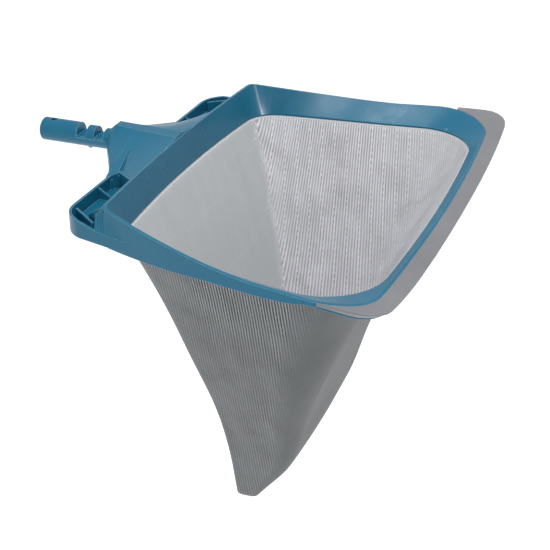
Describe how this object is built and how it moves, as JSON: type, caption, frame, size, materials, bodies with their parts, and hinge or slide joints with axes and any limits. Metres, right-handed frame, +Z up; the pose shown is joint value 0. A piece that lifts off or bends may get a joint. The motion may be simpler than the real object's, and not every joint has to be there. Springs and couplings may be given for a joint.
{
  "type": "leaf skimmer net",
  "caption": "Deep-bag leaf skimmer head: blue moulded frame with ribbed rear wings and a tubular pole stem, grey scraper lip, tapering net bag and a sprung snap button.",
  "frame": {"origin": "on the stem's axis where the end of the pole stops against the yoke", "axes": "+X along the stem towards the scraper lip, +Y towards the user's left side, +Z up out of the mouth of the bag"},
  "size_m": [0.5315, 0.572, 0.4511],
  "materials": {
    "blue_plastic": "satin",
    "grey_lip": "satin",
    "net": "woven",
    "hem_tape": "woven",
    "steel": "satin",
    "button_plastic": "satin"
  },
  "bodies": {
    "head": {"frame_body": "blue_plastic", "front_lip": "grey_lip", "clamp_ring": "blue_plastic", "hem_band": "hem_tape", "hem_cord": "hem_tape", "net_back_panel": "net", "net_far_panel": "net", "net_front_panel": "net", "net_near_panel": "net", "net_toe_patch": "net", "clamp_screw_1": "steel", "clamp_screw_2": "steel", "clamp_screw_3": "steel", "clamp_screw_4": "steel", "clamp_screw_5": "steel", "clamp_screw_6": "steel", "clamp_screw_7": "steel", "clamp_screw_8": "steel", "lip_screw_1": "steel", "lip_screw_2": "steel", "lip_screw_3": "steel", "lip_screw_4": "steel", "lip_screw_5": "steel", "clip_spring": "steel"},
    "snap_button": {"clip_arm": "steel", "clip_button": "button_plastic"}
  },
  "joints": [
    {"name": "snap_button_press", "type": "hinge", "parent": "head", "child": "snap_button", "pos_m": [-0.066, 0, 0], "axis": [0, -1, 0], "range_deg": [0, 4.6], "stiffness_Nm_per_rad": 0.5}
  ]
}
